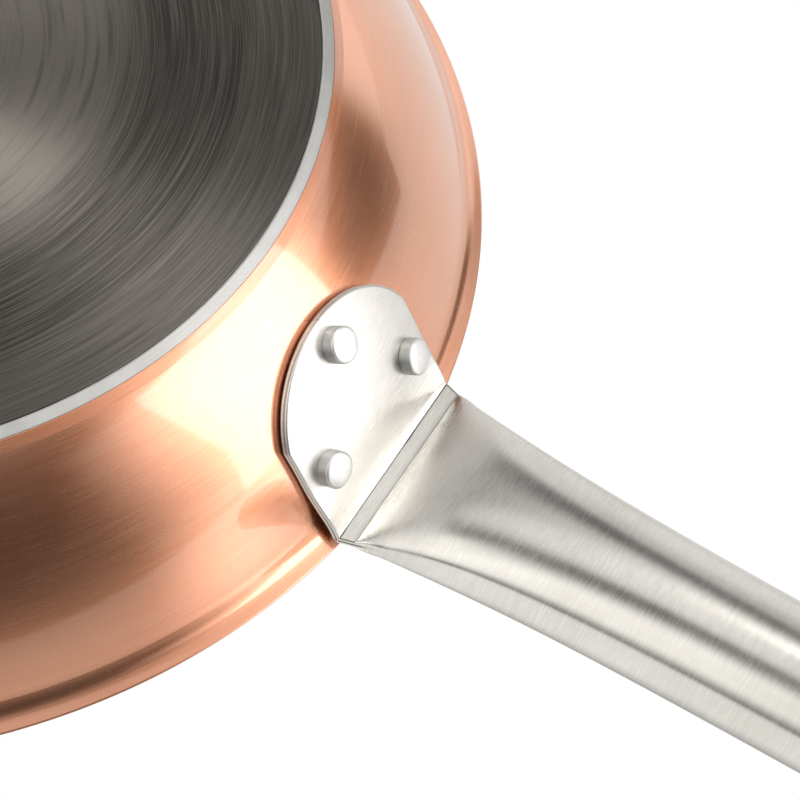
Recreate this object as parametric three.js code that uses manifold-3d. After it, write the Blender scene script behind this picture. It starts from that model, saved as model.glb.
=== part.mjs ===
import * as THREE from "three";
import { mergeVertices } from "three/addons/utils/BufferGeometryUtils.js";
import Module from "manifold-3d";

// Sizes in millimetres, pan standing on its base, handle along +X
const rimRadius = 124.2;
const rimHeight = 45.6;
const lipReach = 2.5;
const lipHeight = 1.8;
const lipSlope = 38;
const baseRadius = 95;
const bevelReach = 1.75;
const wallFootHeight = 2.8;
const wallTurn = 26;
const copperThickness = 0.8;
const coreThickness = 1.4;
const liningThickness = 0.5;

const plateInset = 2.25;
const plateThickness = 0.5;
const spreaderTop = 3;
const ringFoot = 0.2;
const ringTop = 1;

const sheet = 0.9;
const bendWidth = 40;
const tongueWidth = 40.4;
const tongueShoulder = 20.4;
const tongueLength = 34.6;
const tongueClearance = 0.35;
const bendLift = 0.1;
const liftLength = 12;
const handleRise = 5.8;
const handleLength = 190;
const stripLength = 3;
const gripWidth = 26.8;
const gripHeight = 24;
const swellWidth = 27;
const swellHeight = 19;
const hangHoleRadius = 5.5;
const hangHoleInset = 18;

const rivetHeadRadius = 3.4;
const rivetHeadHeight = 2.6;
const rivetShankRadius = 2.2;
const rivetInnerRadius = 5;
const rivetInnerHeight = 1.8;
const rivetApexDrop = 28.6;
const rivetPairDrop = 12.1;
const rivetPairSpread = 28.1;
const play = 0.3;

const panSegments = 48;
const wallSteps = 6;
const lipSteps = 3;
const tubePoints = 36;
const rivetSegments = 20;

const wasm = await Module();
wasm.setup();
const radians = THREE.MathUtils.degToRad;
const wallThickness = copperThickness + coreThickness + liningThickness;
const creaseRadius = rimRadius - lipReach;
const creaseHeight = rimHeight - lipHeight;
const wallFootRadius = baseRadius + bevelReach;
const plateRadius = baseRadius - plateInset;

// The wall is an arc in section: steeper with height by wallTurn degrees
const chordAngle = Math.atan2(creaseHeight - wallFootHeight, creaseRadius - wallFootRadius);
const chordLength = Math.hypot(creaseHeight - wallFootHeight, creaseRadius - wallFootRadius);
const footAngle = chordAngle - radians(wallTurn) / 2;
const wallArc = chordLength / (2 * Math.sin(radians(wallTurn) / 2));
const wallLength = wallArc * radians(wallTurn);
const lipStart = 0.93;

function wallAt(share) {
  const angle = footAngle + radians(wallTurn) * share;
  return {
    r: wallFootRadius + wallArc * (Math.sin(angle) - Math.sin(footAngle)),
    z: wallFootHeight - wallArc * (Math.cos(angle) - Math.cos(footAngle)),
    nr: Math.sin(angle),
    nz: -Math.cos(angle),
  };
}

// The lip is a hollow cubic from the wall's slope out to the rim
function lipAt(t) {
  const start = wallAt(lipStart);
  const reach = Math.hypot(rimRadius - start.r, rimHeight - start.z);
  const slope = radians(lipSlope);
  const curve = new THREE.CubicBezierCurve(
    new THREE.Vector2(start.r, start.z),
    new THREE.Vector2(start.r - start.nz * reach * 0.4, start.z + start.nr * reach * 0.4),
    new THREE.Vector2(rimRadius - Math.cos(slope) * reach * 0.3, rimHeight - Math.sin(slope) * reach * 0.3),
    new THREE.Vector2(rimRadius, rimHeight),
  );
  const point = curve.getPoint(t);
  const way = curve.getTangent(t);
  return { r: point.x, z: point.y, nr: way.y, nz: -way.x };
}

// The wall and lip line, set in from the outer face by a depth
function wallLine(depth, firstShare) {
  const places = [];
  for (let i = 0; i < wallSteps; i++) {
    places.push(wallAt(firstShare + (lipStart - firstShare) * (i / wallSteps)));
  }
  for (let i = 0; i <= lipSteps; i++) places.push(lipAt(i / lipSteps));
  return places.map((p) => [p.r - depth * p.nr, p.z - depth * p.nz]);
}

const cornerShare = 0.12;
const floorHeight = spreaderTop + coreThickness;

// Floor, rounded corner and wall of an inner face
function bowlLine(depth, height) {
  const wall = wallLine(depth, cornerShare);
  const start = [baseRadius - 5 - depth * 0.5, height];
  const end = wall[0];
  const along = [end[0] - start[0], end[1] - start[1]];
  const middle = [start[0] + along[0] * 0.56, start[1] + along[1] * 0.24];
  return [[0, height], start, middle, ...wall];
}

function welded(geometry) {
  geometry.deleteAttribute("normal");
  geometry.deleteAttribute("uv");
  const merged = mergeVertices(geometry, 1e-5);
  const position = merged.getAttribute("position");
  const index = merged.getIndex().array;
  const kept = [];
  let volume = 0;
  const corner = [new THREE.Vector3(), new THREE.Vector3(), new THREE.Vector3()];
  for (let i = 0; i < index.length; i += 3) {
    const [a, b, c] = [index[i], index[i + 1], index[i + 2]];
    if (a === b || b === c || a === c) continue;
    corner.forEach((point, k) => point.fromBufferAttribute(position, index[i + k]));
    volume += corner[0].dot(corner[1].clone().cross(corner[2]));
    kept.push([a, b, c]);
  }
  const wound = volume < 0 ? kept.map(([a, b, c]) => [a, c, b]) : kept;
  merged.setIndex(wound.flat());
  return merged;
}

function revolved(profile, segments) {
  const points = profile.map(([r, z]) => new THREE.Vector2(r, z));
  const geometry = new THREE.LatheGeometry(points, segments);
  geometry.rotateX(Math.PI / 2);
  return welded(geometry);
}

// Rings of equal point count skinned into one body, both ends closed
function skinned(rings) {
  const count = rings[0].length;
  const positions = rings.flat().flatMap((p) => [p.x, p.y, p.z]);
  const index = [];
  for (let i = 0; i + 1 < rings.length; i++) {
    for (let j = 0; j < count; j++) {
      const a = i * count + j;
      const b = i * count + ((j + 1) % count);
      index.push(a, b, b + count, a, b + count, a + count);
    }
  }
  [0, rings.length - 1].forEach((ring) => {
    const centre = new THREE.Vector3();
    rings[ring].forEach((p) => centre.addScaledVector(p, 1 / count));
    const middle = positions.length / 3;
    positions.push(centre.x, centre.y, centre.z);
    for (let j = 0; j < count; j++) {
      const a = ring * count + j;
      const b = ring * count + ((j + 1) % count);
      if (ring === 0) index.push(middle, b, a);
      else index.push(middle, a, b);
    }
  });
  const geometry = new THREE.BufferGeometry();
  geometry.setAttribute("position", new THREE.Float32BufferAttribute(positions, 3));
  geometry.setIndex(index);
  return welded(geometry);
}

function solid(geometry) {
  const vertProperties = new Float32Array(geometry.getAttribute("position").array);
  const triVerts = new Uint32Array(geometry.getIndex().array);
  return new wasm.Manifold(new wasm.Mesh({ numProp: 3, vertProperties, triVerts }));
}

function cutBy(geometry, cutters) {
  let body = solid(geometry);
  cutters.forEach((cutter) => {
    body = body.subtract(solid(cutter));
  });
  const mesh = body.getMesh();
  const result = new THREE.BufferGeometry();
  result.setAttribute("position", new THREE.Float32BufferAttribute(mesh.vertProperties, 3));
  result.setIndex(Array.from(mesh.triVerts));
  return result;
}

function rod(radius, low, high) {
  return revolved([[0, low], [radius, low], [radius, high], [0, high]], rivetSegments);
}

// The handle's tongue lies along the wall from the bend down to its round end
const bendShare = 0.969;

function tongueLift(drop) {
  const near = Math.max(0, 1 - drop / liftLength);
  return tongueClearance + bendLift * near * near;
}

function tongueHalfWidth(drop) {
  if (drop <= tongueShoulder) {
    return (bendWidth + (tongueWidth - bendWidth) * (drop / tongueShoulder)) / 2;
  }
  const half = tongueWidth / 2;
  const reach = tongueLength - tongueShoulder;
  const radius = (half * half + reach * reach) / (2 * reach);
  const past = drop - (tongueLength - radius);
  return Math.sqrt(Math.max(0, radius * radius - past * past));
}

// A point of the tongue: drop below the bend, sideways place, height off the wall
function tonguePoint(drop, side, height) {
  const p = wallAt(bendShare - drop / wallLength);
  const r = p.r + p.nr * height;
  const wrap = THREE.MathUtils.smoothstep(drop, 0, liftLength);
  const turn = side / p.r;
  const x = r + (r * Math.cos(turn) - r) * wrap;
  const y = side + (r * Math.sin(turn) - side) * wrap;
  return new THREE.Vector3(x, y, p.z + p.nz * height);
}

function superRing(halfWidth, halfHeight, power) {
  const ring = [];
  for (let j = 0; j < tubePoints; j++) {
    const angle = (2 * Math.PI * j) / tubePoints;
    const [c, s] = [Math.cos(angle), Math.sin(angle)];
    const across = Math.sign(c) * Math.pow(Math.abs(c), 2 / power) * halfWidth;
    const up = Math.sign(s) * Math.pow(Math.abs(s), 2 / power) * halfHeight;
    ring.push([across, up]);
  }
  return ring;
}

const flatPower = 7;
const bendPoint = tonguePoint(0, 0, tongueLift(0) + sheet);
const rise = radians(handleRise);
const handleWay = new THREE.Vector3(Math.cos(rise), 0, Math.sin(rise));
const handleUp = new THREE.Vector3(-Math.sin(rise), 0, Math.cos(rise));

function gripHalf(along) {
  const past = Math.max(0, along - stripLength);
  const width = Math.exp(-past / swellWidth);
  const height = Math.exp(-past / swellHeight);
  return {
    a: gripWidth / 2 + ((bendWidth - gripWidth) / 2) * width,
    b: gripHeight / 2 + (sheet - gripHeight / 2) * height,
    power: 2.1 + (flatPower - 2.1) * Math.exp(-past / 12),
  };
}

function gripRing(along, inset) {
  const half = gripHalf(along);
  return superRing(half.a - inset, half.b - inset, half.power).map(([across, up]) =>
    new THREE.Vector3(0, across, 0)
      .addScaledVector(handleUp, up)
      .addScaledVector(handleWay, along)
      .add(bendPoint));
}

function tongueRing(drop) {
  const half = Math.max(0.4, tongueHalfWidth(drop));
  return superRing(half, sheet, flatPower).map(([across, up]) =>
    tonguePoint(drop, across, tongueLift(drop) + sheet - up));
}

// At the bend the ring lies in the plane that halves the angle, sharp inside and round outside
function bendRing() {
  const wall = wallAt(bendShare);
  const down = new THREE.Vector3(wall.nz, 0, -wall.nr);
  const mitre = handleWay.clone().add(down).normalize().negate();
  const crease = bendPoint.clone().addScaledVector(mitre, -sheet / mitre.dot(handleUp));
  return superRing(bendWidth / 2, sheet, flatPower).map(([across, up]) =>
    new THREE.Vector3(0, across, 0).addScaledVector(mitre, up + sheet).add(crease));
}

const endRadius = 11;

function gripEnd(inset) {
  const rings = [];
  const start = handleLength - endRadius;
  for (const angle of [0, 22, 44, 62, 77]) {
    const shrink = Math.cos(radians(angle));
    const along = start + (endRadius - inset) * Math.sin(radians(angle));
    const middle = bendPoint.clone().addScaledVector(handleWay, along);
    rings.push(gripRing(along, inset).map((p) => p.sub(middle).multiplyScalar(shrink).add(middle)));
  }
  return rings;
}

const gripStations = [1.2, 3, 5.5, 8, 11, 15, 20, 26, 34, 44, 58, 78, 105, 140];

function handleBody() {
  const drops = [1, 0.985, 0.95, 0.88, 0.78, 0.68].map((share) => share * tongueLength);
  drops.push(tongueShoulder, tongueShoulder * 0.66, tongueShoulder * 0.4, sheet * 2);
  const rings = drops.map(tongueRing);
  rings.push(bendRing());
  gripStations.forEach((along) => rings.push(gripRing(along * (stripLength / 3), 0)));
  return skinned(rings.concat(gripEnd(0)));
}

function handleHollow() {
  const inner = gripStations.slice(3).map((along) => gripRing(along * (stripLength / 3), sheet));
  return skinned(inner.concat(gripEnd(sheet)));
}

// A rivet's own axis points out of the wall, its origin on the wall's outer face
function rivetPlace(drop, side) {
  const p = wallAt(bendShare - drop / wallLength);
  const turn = side / p.r;
  const out = new THREE.Vector3(p.nr * Math.cos(turn), p.nr * Math.sin(turn), p.nz);
  const place = new THREE.Matrix4();
  const spin = new THREE.Quaternion().setFromUnitVectors(new THREE.Vector3(0, 0, 1), out);
  const origin = new THREE.Vector3(p.r * Math.cos(turn), p.r * Math.sin(turn), p.z);
  return place.compose(origin, spin, new THREE.Vector3(1, 1, 1));
}

const rivetPlaces = {
  rivet_apex: rivetPlace(rivetApexDrop, 0),
  rivet_left: rivetPlace(rivetPairDrop, rivetPairSpread / 2),
  rivet_right: rivetPlace(rivetPairDrop, -rivetPairSpread / 2),
};

function rivetBody(place) {
  const seat = tongueClearance + 2 * sheet + play;
  const inside = -(wallThickness + 0.7);
  const profile = [
    [0, inside - rivetInnerHeight],
    [rivetInnerRadius * 0.62, inside - rivetInnerHeight * 0.8],
    [rivetInnerRadius, inside - rivetInnerHeight * 0.3],
    [rivetInnerRadius, inside],
    [rivetShankRadius, inside],
    [rivetShankRadius, seat],
    [rivetHeadRadius, seat],
    [rivetHeadRadius, seat + rivetHeadHeight * 0.68],
    [rivetHeadRadius * 0.72, seat + rivetHeadHeight * 0.96],
    [0, seat + rivetHeadHeight],
  ];
  return revolved(profile, rivetSegments).applyMatrix4(place);
}

function rivetHoles() {
  return Object.values(rivetPlaces).map((place) =>
    rod(rivetShankRadius + play, -9, 7).applyMatrix4(place));
}

function hangHole() {
  const hole = rod(hangHoleRadius, -gripHeight, gripHeight);
  hole.rotateY(-rise);
  const middle = bendPoint.clone().addScaledVector(handleWay, handleLength - hangHoleInset);
  return hole.translate(middle.x, middle.y, middle.z);
}

function inductionPlate() {
  const profile = [[0, 0], [plateRadius - 0.15, 0], [plateRadius, 0.15]];
  profile.push([plateRadius, plateThickness], [0, plateThickness]);
  return revolved(profile, panSegments);
}

function heatSpreader() {
  const profile = [[0, plateThickness], [plateRadius, plateThickness]];
  profile.push([plateRadius + 0.25, plateThickness], [plateRadius + 0.5, ringFoot]);
  profile.push([baseRadius, ringTop], [baseRadius, spreaderTop], [0, spreaderTop]);
  return revolved(profile, panSegments);
}

const baseEdge = [baseRadius, spreaderTop];

function copperShell() {
  const outer = [[baseRadius, ringTop], ...wallLine(0, 0)];
  const inner = [baseEdge, ...wallLine(copperThickness, 0)].reverse();
  return cutBy(revolved([...outer, ...inner, outer[0]], panSegments), rivetHoles());
}

function aluminiumCore() {
  const outer = [[0, spreaderTop], baseEdge, ...wallLine(copperThickness, 0)];
  const inner = bowlLine(copperThickness + coreThickness, floorHeight).reverse();
  return cutBy(revolved([...outer, ...inner], panSegments), rivetHoles());
}

function steelLining() {
  const outer = bowlLine(copperThickness + coreThickness, floorHeight);
  const inner = bowlLine(wallThickness, floorHeight + liningThickness).reverse();
  return cutBy(revolved([...outer, ...inner], panSegments), rivetHoles());
}

function handle() {
  return cutBy(handleBody(), [handleHollow(), hangHole(), ...rivetHoles()]);
}

const group = new THREE.Group();
group.name = "frying_pan";

function add(name, geometry, color, metalness, roughness) {
  const shaded = geometry.toNonIndexed();
  shaded.computeVertexNormals();
  const material = new THREE.MeshStandardMaterial({ color, metalness, roughness });
  material.name = name;
  const mesh = new THREE.Mesh(shaded, material);
  mesh.name = name;
  group.add(mesh);
}

add("copper_shell", copperShell(), 0xc98a6b, 1, 0.35);
add("aluminium_core", aluminiumCore(), 0xb9babc, 1, 0.45);
add("steel_lining", steelLining(), 0xc4c2be, 1, 0.3);
add("heat_spreader", heatSpreader(), 0xd2d0cc, 1, 0.3);
add("induction_plate", inductionPlate(), 0x77726c, 1, 0.4);
add("handle", handle(), 0xc9c6c0, 1, 0.35);
Object.entries(rivetPlaces).forEach(([name, place]) => {
  add(name, rivetBody(place), 0xd9d8d6, 1, 0.35);
});

export default group;
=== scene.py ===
import math

import bmesh
import bpy
import numpy as np
from mathutils import Matrix


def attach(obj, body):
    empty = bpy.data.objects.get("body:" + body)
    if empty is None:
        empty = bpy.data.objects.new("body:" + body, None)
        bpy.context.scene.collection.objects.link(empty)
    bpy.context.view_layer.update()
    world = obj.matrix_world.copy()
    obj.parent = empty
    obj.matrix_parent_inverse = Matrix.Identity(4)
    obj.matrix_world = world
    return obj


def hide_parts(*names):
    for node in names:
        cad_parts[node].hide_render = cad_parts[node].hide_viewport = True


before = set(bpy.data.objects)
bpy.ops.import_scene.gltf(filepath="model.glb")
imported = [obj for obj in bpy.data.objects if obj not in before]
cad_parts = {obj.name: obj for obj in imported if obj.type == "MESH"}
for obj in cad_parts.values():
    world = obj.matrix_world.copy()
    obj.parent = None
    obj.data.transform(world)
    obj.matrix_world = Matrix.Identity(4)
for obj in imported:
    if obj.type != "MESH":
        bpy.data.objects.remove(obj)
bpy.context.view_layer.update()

mm = 0.001
poleSpread = 1e-9       # in metres: a row of points narrower than this is one point
print("frame loaded:", ", ".join(sorted(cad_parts)))

# pan section in millimetres, the same driving sizes as the solids
pan = {
    "rimRadius": 124.4, "rimHeight": 44.3,
    "creaseRadius": 121.7, "creaseHeight": 43.8,
    "baseRadius": 95.0,
    "footRadius": 96.75, "footHeight": 2.8,
    "wallTurn": math.radians(26.0), "wallSteps": 44,
    "lipStart": 0.915,      # share of the wall where the lip starts to turn out
    "lipTurn": math.radians(62.0), "lipSlope": math.radians(37.0),
    "lipHollow": 0.45, "lipFlat": 0.5, "lipSteps": 22,
    "copper": 0.8, "core": 1.4, "lining": 0.5,
    "spreaderTop": 3.0,
    "segments": 288,
}


def unit(v):
    return v / np.linalg.norm(v, axis=-1, keepdims=True)


# A grid of points, rows by columns, closed round the columns, becomes a mesh.
# A row that is one point is a pole; loopRows joins the last row to the first.
# U runs round the columns from 0 to 1, V is the length along the rows in metres.
def gridPiece(name, grid, loopRows=False):
    rows, cols = grid.shape[:2]
    pole = np.linalg.norm(grid - grid[:, :1], axis=2).max(axis=1) < poleSpread
    starts = np.concatenate([[0], np.cumsum(np.where(pole, 1, cols))[:-1]])
    index = starts[:, None] + np.where(pole[:, None], 0, np.arange(cols)[None, :])
    keep = np.ones((rows, cols), bool)
    keep[pole, 1:] = False
    points = grid[keep]
    step = np.linalg.norm(np.diff(grid, axis=0), axis=2).mean(axis=1)
    along = np.concatenate([[0], np.cumsum(step)])
    closing = along[-1] + np.linalg.norm(grid[0] - grid[-1], axis=1).mean()
    last = rows if loopRows else rows - 1
    i = np.repeat(np.arange(last), cols)
    j = np.tile(np.arange(cols), last)
    iNext, jNext = (i + 1) % rows, (j + 1) % cols
    quads = np.stack([index[i, j], index[i, jNext], index[iNext, jNext], index[iNext, j]], axis=1)
    left, right = j / cols, (j + 1) / cols
    low, high = along[i], np.where(iNext == 0, closing, along[iNext])
    uv = np.stack([np.stack([left, low], 1), np.stack([right, low], 1),
                   np.stack([right, high], 1), np.stack([left, high], 1)], axis=1)
    a, b, c, d = (points[quads[:, k]] for k in range(4))
    volume = (a * np.cross(b, c)).sum() + (a * np.cross(c, d)).sum()
    if volume < 0:      # inside out
        quads, uv = quads[:, ::-1], uv[:, ::-1]
    corners = quads != np.roll(quads, 1, axis=1)      # a face at a pole has three
    sizes = corners.sum(axis=1)
    mesh = bpy.data.meshes.new(name)
    mesh.vertices.add(len(points))
    mesh.vertices.foreach_set("co", points.astype(np.float32).ravel())
    mesh.loops.add(int(sizes.sum()))
    mesh.loops.foreach_set("vertex_index", quads[corners].astype(np.int32))
    mesh.polygons.add(len(quads))
    mesh.polygons.foreach_set("loop_start", (np.cumsum(sizes) - sizes).astype(np.int32))
    mesh.update(calc_edges=True)
    layer = mesh.uv_layers.new(name="UVMap")
    layer.data.foreach_set("uv", uv[corners].astype(np.float32).ravel())
    mesh.polygons.foreach_set("use_smooth", np.ones(len(quads), bool))
    piece = bpy.data.objects.new(name, mesh)
    bpy.context.scene.collection.objects.link(piece)
    return piece


# A section of (radius, height) points in mm carried round the Z axis
def turned(name, section, loop=False, segments=pan["segments"]):
    angle = np.linspace(0, 2 * np.pi, segments, endpoint=False) + np.pi
    r, z = section[:, :1] * mm, section[:, 1:] * mm
    grid = np.stack([r * np.cos(angle), r * np.sin(angle), z + 0 * angle], axis=2)
    return gridPiece(name, grid, loopRows=loop)


# A level run of (radius, height) points
def flatRun(first, last, height, steps=12):
    return np.stack([np.linspace(first, last, steps), np.full(steps, float(height))], axis=1)


# Corners (radius, height, rounding) joined by straight runs. A rounding is a parabola that takes
# runShare of a run at most, with a point beside each of its ends so that the runs shade flat.
def rounded(corners, steps=7, runShare=0.45, guardShare=0.35):
    corners = np.asarray(corners, float)
    places, radii = corners[:, :2], corners[:, 2]
    s = np.linspace(0, 1, steps)[:, None]
    out = []
    for k, here in enumerate(places):
        if radii[k] <= 0 or k in (0, len(places) - 1):
            out.append(here[None])
            continue
        before, after = places[k - 1] - here, places[k + 1] - here
        inward, onward = unit(before), unit(after)
        half = 0.5 * math.acos(float(np.clip(inward @ onward, -1, 1)))
        shortRun = min(np.linalg.norm(before), np.linalg.norm(after))
        cut = min(radii[k] / math.tan(half), runShare * shortRun)
        arc = (1 - s) ** 2 * (here + inward * cut) + 2 * s * (1 - s) * here + s ** 2 * (here + onward * cut)
        guard = guardShare * cut
        out.append(np.concatenate([[arc[0] + inward * guard], arc, [arc[-1] + onward * guard]]))
    return np.concatenate(out)


# The wall's arc: the slope grows evenly from the foot to the top
def wallAt(share):
    rise = pan["creaseHeight"] - pan["footHeight"]
    run = pan["creaseRadius"] - pan["footRadius"]
    foot = math.atan2(rise, run) - pan["wallTurn"] / 2
    arc = math.hypot(rise, run) / (2 * math.sin(pan["wallTurn"] / 2))
    angle = foot + pan["wallTurn"] * np.asarray(share, float)
    point = np.stack([pan["footRadius"] + arc * (np.sin(angle) - math.sin(foot)),
                      pan["footHeight"] - arc * (np.cos(angle) - math.cos(foot))], axis=-1)
    normal = np.stack([np.sin(angle), -np.cos(angle)], axis=-1)
    return point, normal, arc * pan["wallTurn"]


# Wall, then at a crease a hollow curve that turns out to the lip (a cubic between two slopes)
def outerLine():
    wall = wallAt(np.linspace(0, pan["lipStart"], pan["wallSteps"]))[0]
    start, end = wall[-1], np.array([pan["rimRadius"], pan["rimHeight"]])
    reach = np.linalg.norm(end - start)
    going = np.array([math.cos(pan["lipTurn"]), math.sin(pan["lipTurn"])])
    leaving = np.array([math.cos(pan["lipSlope"]), math.sin(pan["lipSlope"])])
    s = np.linspace(0, 1, pan["lipSteps"])[1:, None]
    lip = ((1 - s) ** 3 * start + 3 * s * (1 - s) ** 2 * (start + going * reach * pan["lipHollow"])
           + 3 * s ** 2 * (1 - s) * (end - leaving * reach * pan["lipFlat"]) + s ** 3 * end)
    return np.concatenate([wall, lip])


# The line moved into the pan by a depth, square to its own run
def setIn(line, depth):
    along = unit(np.gradient(line, axis=0))
    return line - depth * np.stack([along[:, 1], -along[:, 0]], axis=1)


# inside of the layers: where the wall starts and how the floor turns up to it
bowl = {
    "wallFrom": 6, "cornerInset": 6.0, "depthShare": 0.5, "cornerSteps": 12,
    "floorGap": 0.6, "floorSteps": 26,
}


# Inner face of a layer: level floor, a parabola round the corner, then the wall set in by depth
def bowlLine(depth, height):
    wall = setIn(outerLine(), depth)[bowl["wallFrom"]:]
    start = np.array([pan["baseRadius"] - bowl["cornerInset"] - depth * bowl["depthShare"], height])
    along = unit(wall[1] - wall[0])
    bend = np.array([wall[0, 0] - along[0] * (wall[0, 1] - height) / along[1], height])
    s = np.linspace(0, 1, bowl["cornerSteps"])[:-1, None]
    corner = (1 - s) ** 2 * start + 2 * s * (1 - s) * bend + s ** 2 * wall[0]
    return np.concatenate([flatRun(0, start[0] - bowl["floorGap"], height, bowl["floorSteps"]), corner, wall])


# Out along a layer's outer line, over the two rounded edges of its rim and back along the inner line.
# The rounding starts at the given point from the outer line's end.
def layerSection(outer, inner, rounds, first=2):
    edge = rounded([(*outer[-first], 0), (*outer[-1], rounds[0]), (*inner[0], rounds[1]), (*inner[1], 0)])
    return np.concatenate([outer[:1 - first], edge[1:-1], inner[1:]])


# Shader maths: a wrapped socket adds a Math node for each operator
class Val:
    def __init__(self, finish, socket):
        self.finish, self.socket = finish, socket

    def math(self, operation, other=None, swap=False):
        inputs = [self] if other is None else [other, self] if swap else [self, other]
        made = self.finish.node("ShaderNodeMath", {"operation": operation}, dict(enumerate(inputs)))
        return Val(self.finish, made.outputs[0])

    def __add__(self, other):
        return self.math("ADD", other)

    def __sub__(self, other):
        return self.math("SUBTRACT", other)

    def __rsub__(self, other):
        return self.math("SUBTRACT", other, True)

    def __mul__(self, other):
        return self.math("MULTIPLY", other)

    def __truediv__(self, other):
        return self.math("DIVIDE", other)

    def __rtruediv__(self, other):
        return self.math("DIVIDE", other, True)

    __radd__, __rmul__ = __add__, __mul__

    def ramp(self, low, high, start=0.0, end=1.0, smooth=True):
        kind = "SMOOTHSTEP" if smooth else "LINEAR"
        made = self.finish.node("ShaderNodeMapRange", {"interpolation_type": kind, "clamp": True}, {
            "Value": self, "From Min": low, "From Max": high, "To Min": start, "To Max": end})
        return Val(self.finish, made.outputs["Result"])

    # 1 between low and high, falling to 0 over soft on both sides
    def band(self, low, high, soft):
        return self.ramp(low - soft, low + soft) * self.ramp(high - soft, high + soft, 1.0, 0.0)


colorSockets = {"low": 6, "high": 7, "result": 2}      # where a Mix node keeps its colours


class Finish:
    def __init__(self, owner):
        owner.use_nodes = True
        self.tree = owner.node_tree
        self.tree.nodes.clear()

    def node(self, kind, settings=None, inputs=None):
        made = self.tree.nodes.new(kind)
        for key, value in (settings or {}).items():
            setattr(made, key, value)
        for key, value in (inputs or {}).items():
            if isinstance(value, Val):
                self.tree.links.new(value.socket, made.inputs[key])
            else:
                made.inputs[key].default_value = value
        return made

    def out(self, kind, settings=None, inputs=None, socket=0):
        return Val(self, self.node(kind, settings, inputs).outputs[socket])

    def parts(self, vector):
        made = self.node("ShaderNodeSeparateXYZ", None, {"Vector": vector})
        return [Val(self, made.outputs[k]) for k in range(3)]

    def joined(self, x, y, z):
        return self.out("ShaderNodeCombineXYZ", None, {"X": x, "Y": y, "Z": z})

    def dot(self, vector, way):
        return self.out("ShaderNodeVectorMath", {"operation": "DOT_PRODUCT"}, {0: vector, 1: way}, "Value")

    def noise(self, vector, scale, detail=2.0, rough=0.5):
        return self.out("ShaderNodeTexNoise", None, {
            "Vector": vector, "Scale": scale, "Detail": detail, "Roughness": rough}, "Fac")

    def blend(self, share, low, high):
        ends = {colorSockets["low"]: low, colorSockets["high"]: high}
        colors = {key: value if isinstance(value, Val) else (*value, 1) for key, value in ends.items()}
        return self.out("ShaderNodeMix", {"data_type": "RGBA"}, {"Factor": share, **colors},
                        colorSockets["result"])


# how every metal is brushed: fine and coarse streaks, clouds and a grain
brush = {
    "fineDetail": 3.0, "fineRough": 0.6, "fineTone": (0.35, 0.75), "fineBump": 0.6,
    "coarseShare": 0.17, "coarseDetail": 2.0, "coarseTone": (0.45, 0.8), "coarseDark": 0.8, "coarseBump": 0.4,
    "cloudDetail": 3.0, "cloudRough": 0.55, "cloudTone": (0.3, 0.7), "cloudVary": 0.6,
    "grainScale": 2200.0, "grainDetail": 1.0, "grainTurn": 0.25,
}
# what a metal has unless its own look says otherwise; depth is in metres
plainLook = {
    "zShare": 0.0, "grain": 0.0, "depth": 0.00002, "anisotropic": 0.0,
    "coat": 0.0, "coatRough": 0.05, "coatIndex": 1.5, "tone": None, "roughAt": None,
}


# Metal whose grain follows lines of equal V: fine streaks in colour, roughness and bump
def brushedMetal(name, ownLook):
    look = {**plainLook, **ownLook}
    material = bpy.data.materials.new(name)
    f = Finish(material)
    place = f.out("ShaderNodeTexCoord", socket="Object")
    x, y, z = f.parts(place)
    v = f.parts(f.out("ShaderNodeTexCoord", socket="UV"))[1]
    slow, fast, streak, vary = (look[key] for key in ("streakSlow", "streakFast", "streakTone", "roughVary"))
    across, rise = (x * slow, y * slow), z * (slow * look["zShare"])
    fine = f.noise(f.joined(*across, rise + v * fast), 1.0, brush["fineDetail"], brush["fineRough"])
    coarse = f.noise(f.joined(*across, rise + v * (fast * brush["coarseShare"])), 1.0, brush["coarseDetail"])
    cloud = f.noise(place, look["cloudScale"], brush["cloudDetail"], brush["cloudRough"])
    grain = f.noise(place, brush["grainScale"], brush["grainDetail"])
    base = f.blend(cloud.ramp(*brush["cloudTone"]), look["dark"], look["pale"])
    # a look's tone blends its toneColor in by place: painted shade on the copper foot, a painted highlight in
    # the middle of the base disc
    if look["tone"]:
        base = f.blend(look["tone"](x, y, z), base, look["toneColor"])
    base = f.blend(fine.ramp(*brush["fineTone"]) * streak, base, look["streakColor"])
    base = f.blend(coarse.ramp(*brush["coarseTone"]) * (streak * brush["coarseDark"]), base, look["dark"])
    rough = look["rough"] + (fine - 0.5) * vary + (cloud - 0.5) * (vary * brush["cloudVary"])
    if look["roughAt"]:
        rough = rough + look["roughAt"](x, y, z)
    height = fine * brush["fineBump"] + coarse * brush["coarseBump"] + grain * look["grain"]
    bump = f.out("ShaderNodeBump", None, {
        "Height": height, "Strength": look["bump"], "Distance": look["depth"]})
    shader = f.out("ShaderNodeBsdfPrincipled", None, {
        "Base Color": base, "Metallic": 1.0, "Roughness": rough, "Normal": bump,
        "Anisotropic": look["anisotropic"], "Anisotropic Rotation": brush["grainTurn"],
        "Coat Weight": look["coat"], "Coat Roughness": look["coatRough"], "Coat IOR": look["coatIndex"]})
    f.node("ShaderNodeOutputMaterial", None, {"Surface": shader})
    return material


def finishPiece(piece, material, slot, *nodes):
    piece.data.materials.clear()
    piece.data.materials.append(material)
    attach(piece, "root")
    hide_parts(*nodes)


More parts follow.
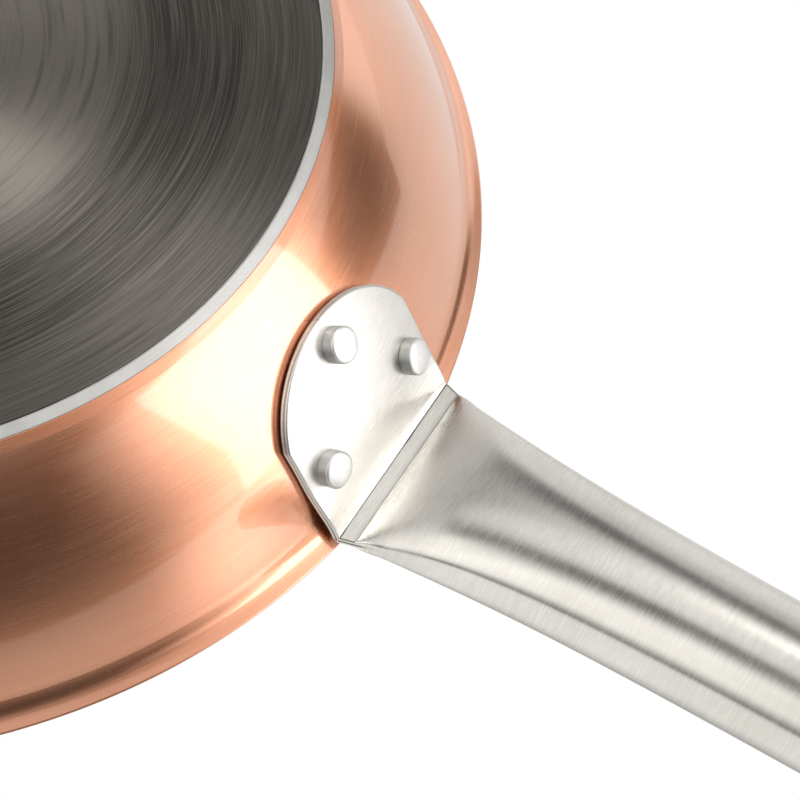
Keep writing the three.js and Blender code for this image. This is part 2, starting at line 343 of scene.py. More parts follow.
# copper skin: sizes in mm, footTop in metres
footBand = {"low": 1.1, "top": 2.6, "rounding": 0.1}
rimEdge = {"rounds": (0.5, 0.25), "first": 5}
copperLook = {
    "dark": (0.86, 0.345, 0.18), "pale": (0.92, 0.40, 0.225), "streakColor": (0.97, 0.55, 0.37),
    "streakTone": 0.3, "streakSlow": 70.0, "streakFast": 4200.0, "cloudScale": 38.0,
    "rough": 0.26, "roughVary": 0.08, "bump": 0.07, "anisotropic": 0.3,
    "coat": 1.0, "coatRough": 0.03, "coatIndex": 1.8,     # clear lacquer over the brushed copper
    # toneColor and the foot's share: painted shade, a darker copper on the foot band for the dimmer light it
    # reflects
    "toneColor": (0.62, 0.22, 0.10), "footPaintedShade": 0.6, "footRough": 0.14, "footTop": (0.0026, 0.0029),
}


# The foot is turned and not polished, so it is a little duller than the wall; it is also a little darker, a
# painted shade for the dimmer light the foot band reflects
def footPaintedShade(x, y, z):
    return z.ramp(*copperLook["footTop"], copperLook["footPaintedShade"], 0.0)


def footRough(x, y, z):
    return z.ramp(*copperLook["footTop"], copperLook["footRough"], 0.0)


copperLook["tone"], copperLook["roughAt"] = footPaintedShade, footRough


# Bevelled foot, outer line and rim, then back down at the sheet's thickness to the core
def copperShell():
    outer, base = outerLine(), pan["baseRadius"]
    inner = setIn(outer, pan["copper"])[::-1]
    foot = rounded([(base, footBand["top"], 0), (base, footBand["low"], footBand["rounding"]),
                    (*outer[0], 0)])
    skin = layerSection(outer, inner, **rimEdge)
    return turned("copperShell", np.concatenate([foot[:-1], skin, [[base, pan["spreaderTop"]]]]), loop=True)


finishPiece(copperShell(), brushedMetal("copperMetal", copperLook), "copper_shell", "copper_shell")
print("copper shell turned")

coreEdge = {"rounds": (0.12, 0.12), "segments": 192}
coreLook = {
    "dark": (0.66, 0.67, 0.68), "pale": (0.74, 0.75, 0.76), "streakColor": (0.85, 0.86, 0.87),
    "streakTone": 0.2, "streakSlow": 20.0, "streakFast": 3000.0, "cloudScale": 60.0,
    "rough": 0.34, "roughVary": 0.1, "bump": 0.1,
}
liningEdge = {"rounds": (0.12, 0.2)}
liningLook = {
    "dark": (0.58, 0.57, 0.55), "pale": (0.67, 0.66, 0.64), "streakColor": (0.80, 0.79, 0.77),
    "streakTone": 0.4, "streakSlow": 10.0, "streakFast": 3200.0, "cloudScale": 30.0,
    "rough": 0.27, "roughVary": 0.1, "bump": 0.12, "anisotropic": 0.55,
}


# Level underside on the spreader, the copper's inner line, and a bowl line at the core's thickness
def aluminiumCore():
    outer = setIn(outerLine(), pan["copper"])
    inner = bowlLine(pan["copper"] + pan["core"], pan["spreaderTop"] + pan["core"])[::-1]
    under = flatRun(0, pan["baseRadius"], pan["spreaderTop"])
    section = np.concatenate([under, layerSection(outer, inner, coreEdge["rounds"])])
    return turned("aluminiumCore", section, segments=coreEdge["segments"])


# Two bowl lines, the lining's thickness apart
def steelLining():
    depth, height = pan["copper"] + pan["core"], pan["spreaderTop"] + pan["core"]
    outer = bowlLine(depth, height)
    inner = bowlLine(depth + pan["lining"], height + pan["lining"])[::-1]
    return turned("steelLining", layerSection(outer, inner, liningEdge["rounds"]))


finishPiece(aluminiumCore(), brushedMetal("coreMetal", coreLook), "aluminium_core", "aluminium_core")
finishPiece(steelLining(), brushedMetal("liningSteel", liningLook), "steel_lining", "steel_lining")
print("core and lining turned")

# base disc and the ring round it: sizes in mm, tone radii in metres
discSizes = {
    "radius": 92.75, "thickness": 0.5, "edge": 0.16, "backEdge": 0.05,
    "faceInset": 0.8, "faceSteps": 60, "backInset": 1.0, "backFlat": 2.0,
}
ringSizes = {
    "foot": 0.2, "inner": 93.25, "top": 1.0, "outer": 95.0,
    "underFlat": 92.0, "gapWall": (92.84, 92.86), "upperEdge": 94.0, "upperFlat": 93.0,
    "rounds": (0.04, 0.05, 0.3, 0.16, 0.1),     # of the corners from the gap to the upper edge
}
plateLook = {
    "dark": (0.072, 0.066, 0.060), "pale": (0.096, 0.088, 0.080), "streakColor": (0.36, 0.33, 0.30),
    "streakTone": 0.57, "streakSlow": 46.0, "streakFast": 5200.0, "cloudScale": 22.0, "grain": 0.4,
    "rough": 0.55, "roughVary": 0.06, "bump": 0.45, "depth": 0.00003, "anisotropic": 1.0,
    # toneColor with the inner radii is a painted highlight, paler in the middle of the disc; with the outer
    # radii it makes a paler ring at the edge
    "toneColor": (0.29, 0.266, 0.242),
    "paintedSheenRadii": (0.050, 0.064), "outerTone": (0.078, 0.082), "outerShare": 0.3,
}
ringLook = {
    "dark": (0.47, 0.47, 0.46), "pale": (0.56, 0.56, 0.55), "streakColor": (0.72, 0.72, 0.71),
    "streakTone": 0.45, "streakSlow": 14.0, "streakFast": 5200.0, "cloudScale": 90.0, "grain": 0.6,
    "rough": 0.53, "roughVary": 0.12, "bump": 0.2, "depth": 0.00003, "anisotropic": 0.4,
}


# A paler middle of the disc, a painted highlight for the broad glow round the centre's reflection, and a
# paler ring at the edge, by the square of the radius
def discPaintedSheen(x, y, z):
    spread = x * x + y * y
    inner, outer = ([r * r for r in plateLook[key]] for key in ("paintedSheenRadii", "outerTone"))
    return spread.ramp(*inner, 1.0, 0.0) + spread.ramp(*outer, 0.0, plateLook["outerShare"])


plateLook["tone"] = discPaintedSheen


# A flat disc with a rounded lower edge
def inductionPlate():
    d, r, thick = discSizes, discSizes["radius"], discSizes["thickness"]
    face = flatRun(0, r - d["faceInset"], 0, d["faceSteps"])
    edge = rounded([(r - d["faceInset"], 0, 0), (r, 0, d["edge"]),
                    (r, thick, d["backEdge"]), (r - d["backInset"], thick, 0)])[1:]
    return turned("inductionPlate", np.concatenate([face, edge, flatRun(r - d["backFlat"], 0, thick)]))


# A disc over the plate whose rim comes down round it behind a narrow gap and slopes up to the foot
def heatSpreader():
    d, thick, top = ringSizes, discSizes["thickness"], pan["spreaderTop"]
    places = [(d["gapWall"][0], thick), (d["gapWall"][1], d["foot"]), (d["inner"], d["foot"]),
              (d["outer"], d["top"]), (d["outer"], top)]
    corners = [(*place, rounding) for place, rounding in zip(places, d["rounds"])]
    ring = rounded([(d["underFlat"], thick, 0), *corners, (d["upperEdge"], top, 0)])[1:]
    section = np.concatenate([flatRun(0, d["underFlat"], thick), ring, flatRun(d["upperFlat"], 0, top)])
    return turned("heatSpreader", section)


finishPiece(inductionPlate(), brushedMetal("turnedSteel", plateLook), "induction_plate", "induction_plate")
finishPiece(heatSpreader(), brushedMetal("turnedRing", ringLook), "heat_spreader", "heat_spreader")
print("base disc turned")

# the handle: a tube pressed flat, bent at a crease and riveted to the wall; sizes in mm
grip = {
    "sheet": 0.9, "bendWidth": 40.0, "tongueWidth": 40.4, "shoulder": 20.4, "length": 34.6,
    "clearance": 0.35, "bendLift": 0.1, "liftLength": 12.0, "bendShare": 0.969,
    "tongueSteps": 40, "tipGap": 1e-4, "tipSlope": -1e3, "tipLean": -0.8,
    "rise": math.radians(5.8), "reach": 190.0, "strip": 3.5, "stripSteps": 8,
    "fold": 0.45, "foldSteps": 11, "groove": 0.2, "grooveWidth": 0.15,
    "width": 26.8, "height": 24.3, "swellWidth": 20.5, "swellHeight": 19.0,
    "swellStart": (0.12, 0.3), "swellFirst": 0.06, "swellSteps": 92, "blendLength": 5.0,
    "flatPower": 5.2, "roundPower": 2.1, "powerFade": 15.0,
    "endRadius": 11.0, "endAngles": (5, 90, 18), "hollowFrom": 8.0,
    "holeRadius": 5.5, "holeInset": 18.0, "holeSteps": 64,
    "seam": 0.3, "edgeRound": 0.45, "edgeEnd": 0.02, "edgeSteps": 13,
    "columns": 240, "crowding": 0.86, "girthSteps": 1441,
    "weld": 2e-6,       # metres
}


# Height off the wall: a clearance, and more towards the bend by the square of the nearness
def tongueLift(drop):
    near = np.clip(1 - drop / grip["liftLength"], 0, 1)
    return grip["clearance"] + grip["bendLift"] * near ** 2


# Half the width: an even taper from the bend to the shoulder, then an arc of a circle
def tongueHalf(drop):
    half, reach = grip["tongueWidth"] / 2, grip["length"] - grip["shoulder"]
    radius = (half ** 2 + reach ** 2) / (2 * reach)
    past = drop - (grip["length"] - radius)
    straight = (grip["bendWidth"] + (grip["tongueWidth"] - grip["bendWidth"]) * drop / grip["shoulder"]) / 2
    return np.where(drop <= grip["shoulder"], straight, np.sqrt(np.clip(radius ** 2 - past ** 2, 0, None)))


# Drop below the bend, place sideways and height off the wall, to a point in mm:
# straight across at the bend and, further down, wrapped round the wall
def tonguePoint(drop, side, height):
    _, _, length = wallAt(0.0)
    point, normal, _ = wallAt(grip["bendShare"] - drop / length)
    r = point[..., 0] + normal[..., 0] * height
    t = np.clip(drop / grip["liftLength"], 0, 1)
    wrap = t * t * (3 - 2 * t)
    turn = side / point[..., 0]
    x = r + (r * np.cos(turn) - r) * wrap
    y = side + (r * np.sin(turn) - side) * wrap
    return np.stack([x, y, point[..., 1] + normal[..., 1] * height], axis=-1)


handleWay = np.array([math.cos(grip["rise"]), 0, math.sin(grip["rise"])])
handleUp = np.array([-math.sin(grip["rise"]), 0, math.cos(grip["rise"])])
handleSide = np.array([0, 1, 0])
bendPoint = tonguePoint(np.array(0.0), np.array(0.0), grip["bendLift"] + grip["clearance"] + grip["sheet"])


# A section of the handle, set at a length along it from the bend
def gripPlace(along, across, up):
    return bendPoint + handleWay * along + handleUp * up[:, None] + handleSide * across[:, None]


# Place round the section: 0 at the +Y edge, points crowded near both edges by a sine
def roundShare():
    t = np.arange(grip["columns"]) / grip["columns"]
    return t - grip["crowding"] * np.sin(4 * np.pi * t) / (4 * np.pi)


# The pressed section: two layers with round edges and a seam between them.
# Gives the side (+1 to -1), the inset from the edge and the height off the middle.
def slabSection():
    s, e = grip["sheet"], grip["edgeRound"]
    arc = np.linspace(-np.pi / 2, np.pi / 2, grip["edgeSteps"])[1:]
    inset = np.concatenate([[grip["seam"]], e * (1 - np.cos(arc)), [e + grip["edgeEnd"]]])
    up = np.concatenate([[0.0], s / 2 * (1 + np.sin(arc)), [s]])
    quarter = np.concatenate([[0], np.cumsum(np.hypot(np.diff(inset), np.diff(up)))])
    girth, edge = 2 * grip["bendWidth"], quarter[-1]
    share = roundShare()
    fold = np.abs(((share + 0.25) % 0.5) - 0.25) * girth
    side = np.where((share < 0.25) | (share >= 0.75), 1.0, -1.0)
    insetAt = np.interp(fold, quarter, inset)
    upAt = np.interp(fold, quarter, up) * np.where(share < 0.5, 1.0, -1.0)
    flat = np.clip((fold - edge) / (girth / 4 - edge), 0, 1)
    return side * (1 - flat), insetAt, upAt


# The swollen section: a superellipse, walked by equal share of its girth
def tubeSection(a, b, power):
    angle = np.linspace(0, 2 * np.pi, grip["girthSteps"])
    c, s = np.cos(angle), np.sin(angle)
    across = np.sign(c) * np.abs(c) ** (2 / power) * a
    up = np.sign(s) * np.abs(s) ** (2 / power) * b
    girth = np.concatenate([[0], np.cumsum(np.hypot(np.diff(across), np.diff(up)))])
    share = roundShare() * girth[-1]
    return np.interp(share, girth, across), np.interp(share, girth, up)


# Half width, half height and power of the section: each closes in on the round grip's as exp(-length)
def gripHalf(along):
    past = np.maximum(0, along - grip["strip"])
    narrow = np.exp(-np.maximum(0, along - grip["fold"]) / grip["swellWidth"])
    a = grip["width"] / 2 + (grip["bendWidth"] - grip["width"]) / 2 * narrow
    b = grip["height"] / 2 + (grip["sheet"] - grip["height"] / 2) * np.exp(-past / grip["swellHeight"])
    power = grip["roundPower"] + (grip["flatPower"] - grip["roundPower"]) * np.exp(-past / grip["powerFade"])
    return a, b, power


# Pressed end: rings follow the outline, so the round end has the same edge as the sides
def tongueRings():
    end, steps = grip["length"] - grip["shoulder"], grip["tongueSteps"]
    tip = grip["length"] - end * (1 - np.cos(np.linspace(0, np.pi / 2, steps)))
    drop = np.concatenate([tip, np.linspace(grip["shoulder"], grip["fold"], steps)[1:]])
    drop[0] -= grip["tipGap"]
    half = tongueHalf(drop)
    slope = np.gradient(half, drop)
    slope[0] = grip["tipSlope"]     # the very tip runs straight across
    lean = unit(np.stack([slope, -np.ones_like(slope)], axis=1))
    side, inset, up = slabSection()
    limit = np.where(lean[:, :1] < grip["tipLean"], inset[None], np.minimum(inset[None], half[:, None]))
    dropAt = drop[:, None] + lean[:, :1] * limit
    sideAt = side[None] * np.maximum(half[:, None] + lean[:, 1:] * limit, 0)
    return tonguePoint(dropAt, sideAt, tongueLift(dropAt) + grip["sheet"] - up[None])


# The strip is still pressed flat; past it the section goes from slab to tube over blendLength,
# and the far end closes as a half ball. An inset shrinks the section for the hollow.
def gripRings(inset=0.0, first=0.0):
    strip, last = grip["strip"], grip["reach"] - grip["endRadius"]
    swell = np.linspace(grip["swellFirst"], 1, grip["swellSteps"]) ** 2
    along = np.concatenate([np.linspace(grip["fold"], strip, grip["stripSteps"]),
                            strip + np.array(grip["swellStart"]), strip + (last - strip) * swell])
    side, edgeInset, slabUp = slabSection()
    rings = []
    for u in along[along >= first]:
        a, b, power = gripHalf(u)
        across, up = tubeSection(a - inset, b - inset, power)
        slab = float(np.clip(1 - (u - strip) / grip["blendLength"], 0, 1)) if inset == 0 else 0.0
        across = slab * side * (a - edgeInset) + (1 - slab) * across
        up = slab * slabUp / grip["sheet"] * b + (1 - slab) * up
        rings.append(gripPlace(u, across, up))
    a, b, power = gripHalf(last)
    across, up = tubeSection(a - inset, b - inset, power)
    for angle in np.radians(np.linspace(*grip["endAngles"])):
        ball = last + (grip["endRadius"] - inset) * math.sin(angle)
        rings.append(gripPlace(ball, across * math.cos(angle), up * math.cos(angle)))
    return np.stack(rings)


# Across the crease the middle of the sheet is a short parabola between both sides,
# with a fine pressed groove along the underside
def foldRings(before, after):
    s = np.linspace(0, 1, grip["foldSteps"] + 2)[1:-1, None, None]
    up = slabSection()[2]
    wall = wallAt(grip["bendShare"])[1]
    mitre = unit(handleWay + np.array([wall[1], 0, -wall[0]]))
    corner = bendPoint + handleSide * before[:, 1:2] + mitre / (mitre @ handleUp) * up[:, None]
    groove = grip["groove"] * np.exp(-((s - 0.5) / grip["grooveWidth"]) ** 2) * (up < 0)[None, :, None]
    return (1 - s) ** 2 * before + 2 * s * (1 - s) * corner + s ** 2 * after + groove * handleUp


# The inside of the tube: the same rings set in by the sheet, closed at both ends
def closedHollow(name):
    rings = gripRings(inset=grip["sheet"], first=grip["hollowFrom"]) * mm
    first = rings[:1].mean(axis=1, keepdims=True) + 0 * rings[:1]
    return gridPiece(name, np.concatenate([first, rings]))


# A closed cylinder through both walls: middle, ring, ring, middle
def hangCutter(name):
    angle = np.linspace(0, 2 * np.pi, grip["holeSteps"], endpoint=False)[:, None]
    centre = bendPoint + handleWay * (grip["reach"] - grip["holeInset"])
    ring = (handleWay * np.cos(angle) + handleSide * np.sin(angle)) * grip["holeRadius"]
    ends = np.array([-1, -1, 1, 1])[:, None, None] * handleUp * grip["height"]
    size = np.array([0, 1, 1, 0])[:, None, None]
    return gridPiece(name, (centre + ends + ring[None] * size) * mm)


def cutBy(piece, *cutters):
    for cutter in cutters:
        modifier = piece.modifiers.new("cut", "BOOLEAN")
        modifier.operation, modifier.solver, modifier.object = "DIFFERENCE", "EXACT", cutter
    graph = bpy.context.evaluated_depsgraph_get()
    mesh = bpy.data.meshes.new_from_object(piece.evaluated_get(graph))
    piece.modifiers.clear()
    old, piece.data = piece.data, mesh
    bpy.data.meshes.remove(old)
    for cutter in cutters:
        bpy.data.objects.remove(cutter)
    mesh.name = piece.name


def merged(piece, distance):
    work = bmesh.new()
    work.from_mesh(piece.data)
    bmesh.ops.remove_doubles(work, verts=work.verts, dist=distance)
    bmesh.ops.recalc_face_normals(work, faces=work.faces)
    work.to_mesh(piece.data)
    work.free()


# Tongue, fold and tube are one grid; the hollow and the hanging hole are cut out of it
def handle():
    tongue, tube = tongueRings(), gripRings()
    rings = np.concatenate([tongue, foldRings(tongue[-1], tube[0]), tube]) * mm
    piece = gridPiece("tubeHandle", rings)
    merged(piece, grip["weld"])
    cutBy(piece, closedHollow("hollow"), hangCutter("hangCutter"))
    return piece


# spans run along X in metres: the riveted plate, the flat strip and the swell behind it
handleLook = {
    "dark": (0.60, 0.585, 0.555), "pale": (0.68, 0.665, 0.635), "streakColor": (0.80, 0.785, 0.755),
    "streakTone": 0.5, "streakSlow": 300.0, "zShare": 1.0, "streakFast": 3400.0, "cloudScale": 45.0,
    "grain": 0.5, "rough": 0.20, "roughVary": 0.08, "bump": 0.09,
    "plateEnd": (0.116, 0.121), "plateRough": 0.2,
    "stripSpan": (0.1225, 0.1256), "stripBlur": 0.0006, "stripRough": -0.11,
    "swellSpan": (0.128, 0.138), "swellBlur": 0.003, "swellRough": 0.14,
}


# The plate and the swell are duller than the grip, and the strip is brighter
def handleRough(x, y, z):
    k = handleLook
    plate = x.ramp(*k["plateEnd"], k["plateRough"], 0.0)
    strip = x.band(*k["stripSpan"], k["stripBlur"]) * k["stripRough"]
    return plate + strip + x.band(*k["swellSpan"], k["swellBlur"]) * k["swellRough"]


handleLook["roughAt"] = handleRough
finishPiece(handle(), brushedMetal("handleSteel", handleLook), "handle", "handle")
print("handle pressed, bent and drilled")

rivet = {
    "apexDrop": 28.6, "pairDrop": 12.1, "pairSpread": 28.1,
    "headRadius": 3.4, "headHeight": 2.75, "chamferRadius": 2.95, "chamferHeight": 2.3,
    "innerRadius": 5.0, "innerHeight": 1.9, "shank": 2.2, "innerGap": 0.05, "sunk": 0.02,
    "domeRim": 0.35, "domePower": 0.9, "domeSteps": 14,
    "shankRound": 0.05, "seatRound": 0.1, "sideRound": 0.3, "topRound": 0.45,
    "topDrop": 0.22, "crown": 0.16, "crownShare": 0.8, "crownSteps": 8, "segments": 72,
}
rivetLook = {
    "dark": (0.66, 0.66, 0.65), "pale": (0.78, 0.78, 0.77), "streakColor": (0.86, 0.86, 0.85),
    "streakTone": 0.3, "streakSlow": 300.0, "zShare": 1.0, "streakFast": 900.0, "cloudScale": 420.0,
    "rough": 0.46, "roughVary": 0.1, "bump": 0.3, "depth": 0.00004,
}


# A turned rivet: low dome inside the bowl, shank, and outside a head with a chamfer and a slight crown
def rivetSection():
    k = rivet
    seat = grip["clearance"] + 2 * grip["sheet"] - k["sunk"]
    inside = -(pan["copper"] + pan["core"] + pan["lining"] + k["innerGap"])
    quarter = np.linspace(0, 1, k["domeSteps"]) * np.pi / 2
    dome = np.stack([k["innerRadius"] * np.sin(quarter) ** k["domePower"],
                     inside - k["domeRim"] - (k["innerHeight"] - k["domeRim"]) * np.cos(quarter)], axis=1)
    top = seat + k["headHeight"]
    middle = rounded([(k["innerRadius"], inside, 0), (k["shank"], inside, k["shankRound"]),
                      (k["shank"], seat, k["shankRound"]), (k["headRadius"], seat, k["seatRound"]),
                      (k["headRadius"], seat + k["chamferHeight"], k["sideRound"]),
                      (k["chamferRadius"], top - k["topDrop"], k["topRound"]), (0, top, 0)])[1:-1]
    share = np.linspace(k["crownShare"], 0, k["crownSteps"])
    cap = np.stack([k["chamferRadius"] * share, top - k["crown"] * share ** 2], axis=1)
    return np.concatenate([dome, middle, cap])


# The section carried round the wall's own normal at a drop below the bend
def rivetPiece(name, drop, sideways):
    _, _, length = wallAt(0.0)
    point, normal, _ = wallAt(grip["bendShare"] - drop / length)
    turn = sideways / point[0]
    out = np.array([normal[0] * math.cos(turn), normal[0] * math.sin(turn), normal[1]])
    origin = np.array([point[0] * math.cos(turn), point[0] * math.sin(turn), point[1]])
    angle = np.linspace(0, 2 * np.pi, rivet["segments"], endpoint=False)[:, None]
    across = unit(np.cross(out, [0, 0, 1.0]))
    ring = across * np.cos(angle) + np.cross(out, across) * np.sin(angle)
    section = rivetSection()
    grid = origin + section[:, :1, None] * ring[None] + section[:, 1:, None] * out
    return gridPiece(name, grid * mm)


rivetMetal = brushedMetal("rivetAluminium", rivetLook)
halfSpread = rivet["pairSpread"] / 2
for name, node, drop, sideways in (("rivetApex", "rivet_apex", rivet["apexDrop"], 0.0),
                                   ("rivetLeft", "rivet_left", rivet["pairDrop"], halfSpread),
                                   ("rivetRight", "rivet_right", rivet["pairDrop"], -halfSpread)):
    finishPiece(rivetPiece(name, drop, sideways), rivetMetal, "rivets", node)
print("rivets set")

# camera at the photograph's angle: it looks up at the base from below and beside the handle
shot = {
    "place": (0.3023, 0.3725, -0.5470),
    "right": (0.8721, -0.48727, -0.04485),
    "down": (0.41818, 0.69456, 0.58542),
    "focalPixels": 4000.0, "imagePixels": 800.0, "sensor": 36.0, "clip": (0.01, 50),
}


def placeAt(thing, right, up, back, place):
    matrix = np.eye(4)
    matrix[:3] = np.stack([right, up, back, place], axis=1)
    thing.matrix_world = Matrix(matrix.tolist())
    bpy.context.scene.collection.objects.link(thing)


def addCamera():
    data = bpy.data.cameras.new("camera")
    data.sensor_width = shot["sensor"]
    data.lens = shot["focalPixels"] / shot["imagePixels"] * shot["sensor"]
    data.clip_start, data.clip_end = shot["clip"]
    camera = bpy.data.objects.new("camera", data)
    right, down = unit(np.array(shot["right"])), np.array(shot["down"])
    down = unit(down - right * (down @ right))
    placeAt(camera, right, -down, -np.cross(right, down), shot["place"])
    bpy.context.scene.camera = camera


addCamera()

studio = {
    "floorDrop": 0.0004, "floorReach": 4.0, "floorColor": (0.86, 0.855, 0.85),
    "fadeFrom": 0.9, "fadeTo": 2.2,
    "ambient": 0.55, "metalTint": (1.0, 0.985, 0.955), "white": (1, 1, 1, 1),
    "frontX": (0.02, 0.12),     # where the room behind the handle gives way to the front
}


# The pan stands on a pale floor that is seen only from above
def addFloor():
    reach, z = studio["floorReach"], -studio["floorDrop"]
    mesh = bpy.data.meshes.new("floor")
    mesh.from_pydata([(-reach, -reach, z), (reach, -reach, z), (reach, reach, z), (-reach, reach, z)],
                     [], [(0, 1, 2, 3)])
    floor = bpy.data.objects.new("floor", mesh)
    bpy.context.scene.collection.objects.link(floor)
    material = bpy.data.materials.new("floorPale")
    f = Finish(material)
    path = f.node("ShaderNodeLightPath")
    x, y, _ = f.parts(f.out("ShaderNodeTexCoord", socket="Object"))
    clear = f.out("ShaderNodeNewGeometry", socket="Backfacing")
    for socket in ("Is Shadow Ray", "Is Glossy Ray", "Is Transmission Ray"):
        clear = clear.math("MAXIMUM", Val(f, path.outputs[socket]))
    clear = clear.math("MAXIMUM", (x * x + y * y).ramp(studio["fadeFrom"] ** 2, studio["fadeTo"] ** 2))
    pale = f.out("ShaderNodeBsdfDiffuse", None, {"Color": (*studio["floorColor"], 1)})
    seeThrough = f.out("ShaderNodeBsdfTransparent")
    mixed = f.out("ShaderNodeMixShader", None, {0: clear, 1: pale, 2: seeThrough})
    f.node("ShaderNodeOutputMaterial", None, {"Surface": mixed})
    mesh.materials.append(material)


# What the metal shows, in degrees: turn goes round the pan from the handle, dip is below
# the horizon and roll goes round the handle from straight down; levels of light beside them
whiteTable = {
    "horizonTurn": (-60, -40), "horizon": (-13.7, -5.0), "notchTurn": (-64, -60), "notch": 3.7, "blur": 0.7,
    "level": 0.85, "farLevel": 0.62, "farTurn": (2, 14), "sideLevel": 0.5, "sideTurn": (45, 70),
    "litLevel": 1.3, "litFrom": (-44, -33), "litTo": (-8, 10), "litDip": (-27, -14),
}
softbox = {
    "level": 3.7, "tint": (1.0, 0.965, 0.99), "tintX": (0.1, 0.2), "lowLevel": 1.0,
    "right": (-38.6, -37.2), "low": (24, 27), "leftDip": (4, 24), "left": (-9.0, -1.5),
    "blur": 0.8, "spill": 1.3, "spillReach": 20,
}
leftGap = {
    "dark": 0.065, "floor": 0.22, "floorDip": (27, 31), "end": 0.6, "endDip": (40, 43),
    "near": 0.5, "nearTurn": (-2, 11),
}
rightGap = {
    "dark": 0.05, "level": (0.42, 0.95), "levelTurn": (-68, -56), "dip": (5, 7.5),
    "endLevel": 1.1, "endTurn": (-69, -62), "foot": -0.3, "footDip": (15, 32), "footBlur": 3.0,
}
sideBox = {"level": 2.2, "turn": (-48.0, -27), "turnBlur": 1.5, "dip": (30, 53), "dipBlur": 2.5}
lowBox = {"level": (3.2, 7.5), "x": (0.055, 0.1), "turn": (-50, -45), "dip": (55, 69), "dipBlur": 2.0}
# a dim patch overhead, which darkens the lower outlines of the lip and the tube
darkEdge = {
    "level": 0.6, "way": (-0.2541, -0.5293, 0.8095), "reach": (0.3, 0.97),
    "side": (0.418, 0.695, 0.585), "sideReach": (-0.03, 0.1),
}
behind = {
    "dark": 0.1, "ridge": 14.3, "ridgeLean": 71.0, "ridgeUnder": (-10.5, -4.0), "ridgeBlur": 0.4,
    "ridgeOver": (9.5, 24.0), "ridgeOverX": (-0.3, 0.0), "ridgeFade": (0.15, 1.0),
    "ridgeDark": 0.0, "ridgeEnd": 0.35, "ridgeEndX": (-0.5, -0.33),
    "nearLevel": 1.12, "nearLean": 0.15, "nearRoll": (-52, -31.5),
    "farLevel": 0.99, "farRoll": (-74, -50), "farDrop": 0.4, "farX": (-0.32, 0.0),
    "dim": (-48, -34.5), "dimBlur": 3.5, "dimRise": 3.5, "dimRiseX": (-0.07, -0.02),
    "dimEnd": 0.5, "dimEndX": (-0.62, -0.3),
    "highLevel": 1.54, "highDrop": 0.15, "highX": (-0.06, 0.0),
    "stripeRoll": (66, 96), "stripeEnd": (99.5, 108), "stripe": 0.9,
    "swellLevel": 1.42, "swellX": (-0.745, -0.67),
}


# The table above the rim, brighter where a lamp stands on the handle's side
def tableLight(turn, dip):
    t = whiteTable
    lit = turn.ramp(*t["litFrom"]) * turn.ramp(*t["litTo"], 1.0, 0.0) * dip.ramp(*t["litDip"])
    plain = turn.ramp(*t["farTurn"], t["level"], t["farLevel"]) + turn.ramp(*t["sideTurn"]) * t["sideLevel"]
    horizon = turn.ramp(*t["horizonTurn"], *t["horizon"], smooth=False)
    horizon = horizon + turn.ramp(*t["notchTurn"], t["notch"], 0.0)
    share = (dip - horizon).ramp(-t["blur"], t["blur"], 1.0, 0.0)
    return plain + lit * t["litLevel"], share


# In front of the handle: a softbox between two dark gaps, and a lower box beside it
def frontLight(turn, dip):
    b, g, r, w = softbox, leftGap, rightGap, sideBox
    side = turn - dip.ramp(*b["leftDip"], *b["left"], smooth=False)
    past = side.ramp(-b["blur"], b["blur"])
    before = turn.ramp(*b["right"], 1.0, 0.0)
    under = dip.ramp(*b["low"])
    left = side.ramp(0, b["spillReach"], b["spill"], 0.0) * (1 - under)
    left = left + dip.ramp(*g["floorDip"], g["dark"], g["floor"]) + dip.ramp(*g["endDip"], 0.0, g["end"])
    left = left + under * turn.ramp(*g["nearTurn"], g["near"], 0.0)
    opening = dip.ramp(*r["dip"])
    right = r["dark"] + opening * turn.ramp(*r["levelTurn"], *r["level"])
    right = right + dip.band(*r["footDip"], r["footBlur"]) * r["foot"]
    right = right + turn.ramp(*r["endTurn"], r["endLevel"], 0.0) * (1 - opening)
    box = under.ramp(0, 1, b["level"], b["lowLevel"])
    low = turn.band(*w["turn"], w["turnBlur"]) * dip.band(*w["dip"], w["dipBlur"]) * w["level"]
    inside = (1 - past) * (1 - before)
    return past * left + before * right + inside * box + low, inside * (1 - under)


# Behind the handle: a pale room with a dark edge that leans along the tube and two dim stripes
def backLight(roll, x):
    k = behind
    off = roll - (x * k["ridgeLean"] + k["ridge"])
    near = x * k["nearLean"] + k["nearLevel"]
    far = k["farLevel"] - roll.ramp(*k["farRoll"]) * x.ramp(*k["farX"], 0.0, k["farDrop"])
    calm = far + (near - far) * roll.ramp(*k["nearRoll"])
    dimLow, dimHigh = k["dim"]
    dimTop = roll - (dimHigh + x.ramp(*k["dimRiseX"], 0.0, k["dimRise"]))
    dim = roll.ramp(dimLow - k["dimBlur"], dimLow + k["dimBlur"])
    dim = dim * dimTop.ramp(-k["dimBlur"], k["dimBlur"], 1.0, 0.0)
    low = calm + (x.ramp(*k["dimEndX"], k["dimEnd"], k["dark"]) - calm) * dim
    stripe = roll.ramp(*k["stripeRoll"]) * roll.ramp(*k["stripeEnd"], 1.0, 0.0) * k["stripe"]
    high = x.ramp(*k["highX"], k["highLevel"], k["highLevel"] - k["highDrop"]) * (1 - stripe)
    edge = x.ramp(*k["ridgeEndX"], k["ridgeEnd"], k["ridgeDark"])
    low = low + (edge - low) * off.ramp(*k["ridgeUnder"])
    high = edge + (high - edge) * (off / x.ramp(*k["ridgeOverX"], *k["ridgeOver"])).ramp(*k["ridgeFade"])
    level = low + (high - low) * off.ramp(-k["ridgeBlur"], k["ridgeBlur"])
    return level + (k["swellLevel"] - level) * x.ramp(*k["swellX"], 1.0, 0.0)


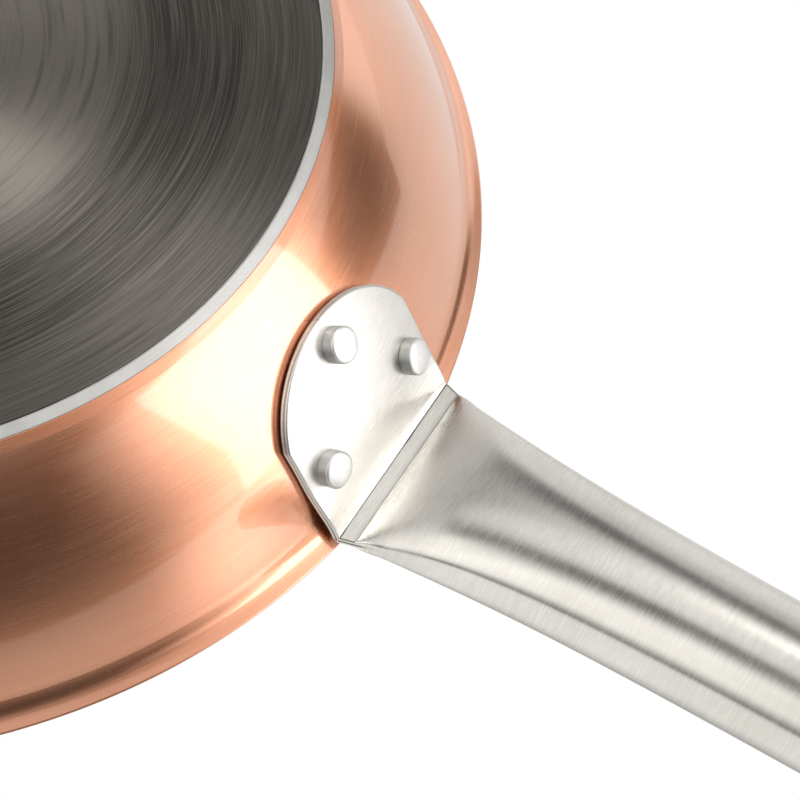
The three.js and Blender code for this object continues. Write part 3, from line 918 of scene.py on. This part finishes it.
# White to the camera; the metal shows the table above and the two sides of the room
def addWorld():
    world = bpy.data.worlds.new("studio")
    bpy.context.scene.world = world
    f = Finish(world)
    path = f.node("ShaderNodeLightPath")
    way = f.out("ShaderNodeTexCoord", socket="Generated")
    x, y, z = f.parts(way)
    degrees = 180 / math.pi
    turn = y.math("ARCTAN2", x) * degrees
    dip = (z * -1.0).math("ARCSINE") * degrees
    roll = y.math("ARCTAN2", z * -1.0) * degrees
    tableGlow, tableShare = tableLight(turn, dip)
    front, boxShare = frontLight(turn, dip)
    back = backLight(roll, x)
    low = x.ramp(*lowBox["x"]) * turn.ramp(*lowBox["turn"], 1.0, 0.0)
    low = low * dip.band(*lowBox["dip"], lowBox["dipBlur"]) * dip.ramp(*lowBox["dip"], *lowBox["level"])
    room = back + (front - back) * x.ramp(*studio["frontX"]) + low
    glow = room + (tableGlow - room) * tableShare
    edge = f.dot(way, darkEdge["way"]).ramp(*darkEdge["reach"])
    edge = edge * f.dot(way, darkEdge["side"]).ramp(*darkEdge["sideReach"])
    glow = glow * edge.ramp(0, 1, 1.0, darkEdge["level"])
    tintShare = boxShare * (1 - tableShare) * x.ramp(*softbox["tintX"])
    tint = f.blend(tintShare, studio["metalTint"], softbox["tint"])
    metal = f.out("ShaderNodeEmission", None, {"Color": tint, "Strength": glow})
    plain = f.out("ShaderNodeEmission", None, {"Color": studio["white"], "Strength": studio["ambient"]})
    white = f.out("ShaderNodeEmission", None, {"Color": studio["white"], "Strength": 1.0})
    bounced = Val(f, path.outputs["Diffuse Depth"]).ramp(0, 1)
    glossy = Val(f, path.outputs["Is Glossy Ray"]) * (1 - bounced)     # keeps a copper glow off the floor
    seen = Val(f, path.outputs["Is Camera Ray"]).math("MAXIMUM", Val(f, path.outputs["Is Transmission Ray"]))
    first = f.out("ShaderNodeMixShader", None, {0: glossy, 1: plain, 2: metal})
    second = f.out("ShaderNodeMixShader", None, {0: seen, 1: first, 2: white})
    f.node("ShaderNodeOutputWorld", None, {"Surface": second})


# the lamps light the floor and its shadows; the metal shows the studio instead of them
lamps = {
    "overhead": {"place": (-0.35, -0.45, 1.25), "size": 1.6, "power": 8.0},
    "side": {"place": (0.75, 0.95, 0.75), "size": 1.3, "power": 4.5},
}
lampTarget = (0.05, 0, 0.02)


def addLamps():
    for name, lamp in lamps.items():
        data = bpy.data.lights.new(name, "AREA")
        data.shape, data.size, data.energy = "DISK", lamp["size"], lamp["power"]
        light = bpy.data.objects.new(name, data)
        light.visible_camera = light.visible_glossy = False
        back = unit(np.array(lamp["place"]) - np.array(lampTarget))
        side = unit(np.cross([0, 0, 1.0], back))
        placeAt(light, side, np.cross(back, side), back, lamp["place"])


addFloor()
addWorld()
addLamps()
bpy.context.scene.view_settings.view_transform = "Standard"
print("camera, floor and light placed")

bpy.context.view_layer.update()
